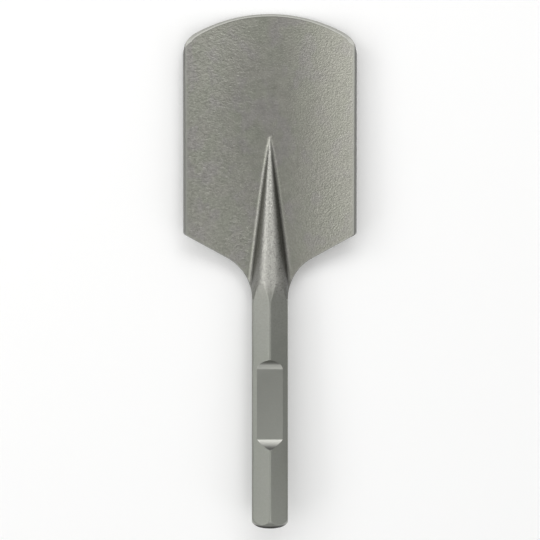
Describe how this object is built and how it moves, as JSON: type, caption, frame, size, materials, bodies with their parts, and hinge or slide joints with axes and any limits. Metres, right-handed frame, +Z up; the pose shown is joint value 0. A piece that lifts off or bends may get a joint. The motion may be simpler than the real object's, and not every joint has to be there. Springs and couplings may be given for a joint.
{
  "type": "spade chisel",
  "caption": "One-piece forged spade chisel: hexagon shank with a retaining notch, tapering into a rib that runs out in a wide troughed blade with an arched, bevelled edge.",
  "frame": {"origin": "middle of the object's box, on the surface that it lies on", "axes": "+Y along the tool from the struck end to the cutting edge, +Z up, with the hollow side of the blade upwards"},
  "size_m": [0.1348, 0.3998, 0.0417],
  "materials": {
    "forged_steel": "blasted forged steel, satin, slightly uneven"
  },
  "bodies": {
    "root": {"spade_chisel": "forged_steel"}
  },
  "joints": []
}
